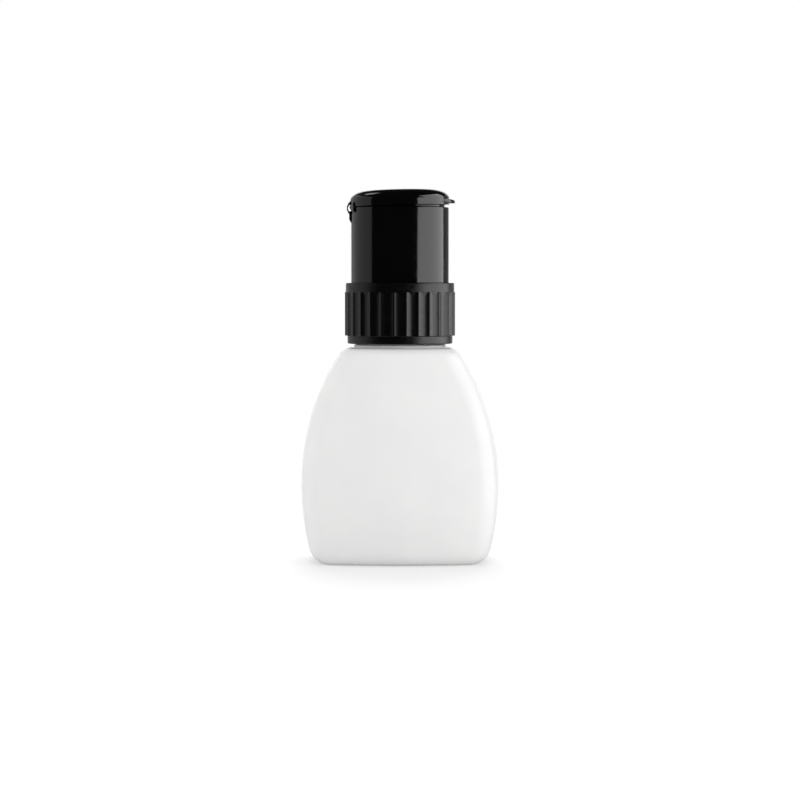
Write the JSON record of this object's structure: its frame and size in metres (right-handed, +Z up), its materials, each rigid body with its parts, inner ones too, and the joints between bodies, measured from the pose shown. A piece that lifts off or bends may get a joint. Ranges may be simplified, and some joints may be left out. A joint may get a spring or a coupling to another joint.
{
  "type": "push-down pump dispenser bottle",
  "caption": "Pump dispenser bottle: press the round head and liquid rises from a dip tube into a shallow dish under a hinged flip lid; a fluted screw collar holds the pump.",
  "frame": {"origin": "centre of the foot of the bottle, on the surface it stands on", "axes": "+Z is up along the pump; the bottle's broad front faces -Y; the lid's hinge is at -X and its thumb tab at +X"},
  "size_m": [0.07, 0.052, 0.1318],
  "materials": {
    "bottle_plastic": "satin blow-moulded high-density polyethylene",
    "collar_plastic": "fine satin injection-moulded polypropylene",
    "gasket_foam": "closed-cell polyethylene foam",
    "pump_plastic": "natural polypropylene, satin",
    "tube_plastic": "natural low-density polyethylene, satin",
    "piston_plastic": "smooth soft polyethylene",
    "valve_ball": "polished stainless steel",
    "spring_wire": "bright drawn stainless wire",
    "head_plastic": "polished injection-moulded polypropylene",
    "dish_plastic": "polished injection-moulded polypropylene"
  },
  "bodies": {
    "bottle": {"bottle_body": "bottle_plastic"},
    "pump_engine": {"neck_gasket": "gasket_foam", "pump_housing": "pump_plastic", "stem_guide": "pump_plastic", "dip_tube": "tube_plastic", "ball_cage": "pump_plastic", "return_spring": "spring_wire"},
    "collar": {"screw_collar": "collar_plastic"},
    "inlet_valve": {"inlet_ball": "valve_ball"},
    "plunger": {"stem": "pump_plastic", "piston": "piston_plastic", "ball_retainer": "pump_plastic"},
    "outlet_valve": {"outlet_ball": "valve_ball"},
    "pump_head": {"head_shell": "head_plastic", "dispensing_dish": "dish_plastic", "hinge_film": "head_plastic", "hinge_webs": "head_plastic"},
    "lid": {"flip_lid": "head_plastic"}
  },
  "joints": [
    {"name": "pump_rise", "type": "slide", "parent": "bottle", "child": "pump_engine", "axis": [0, 0, 1], "range_m": [0, 0.004]},
    {"name": "collar_turn", "type": "hinge", "parent": "pump_engine", "child": "collar", "pos_m": [0, 0, 0.0875], "axis": [0, 0, 1], "range_deg": [0, 450]},
    {"name": "inlet_ball_lift", "type": "slide", "parent": "pump_engine", "child": "inlet_valve", "axis": [0, 0, 1], "range_m": [0, 0.0009]},
    {"name": "head_press", "type": "slide", "parent": "pump_engine", "child": "plunger", "axis": [0, 0, -1], "range_m": [0, 0.0075], "stiffness_N_per_m": 600, "springref_m": -0.006, "deforming": ["return_spring"]},
    {"name": "outlet_ball_lift", "type": "slide", "parent": "plunger", "child": "outlet_valve", "axis": [0, 0, 1], "range_m": [0, 0.0007]},
    {"name": "head_turn", "type": "hinge", "parent": "plunger", "child": "pump_head", "pos_m": [0, 0, 0.104], "axis": [0, 0, 1], "continuous": true},
    {"name": "lid_open", "type": "hinge", "parent": "pump_head", "child": "lid", "pos_m": [-0.0179, 0, 0.125], "axis": [0, -1, 0], "range_deg": [0, 150], "deforming": ["hinge_film", "hinge_webs"]}
  ],
  "couplings": [
    {"joint": "collar_turn", "follows": "pump_rise", "rad_per_m": 1963.5}
  ]
}
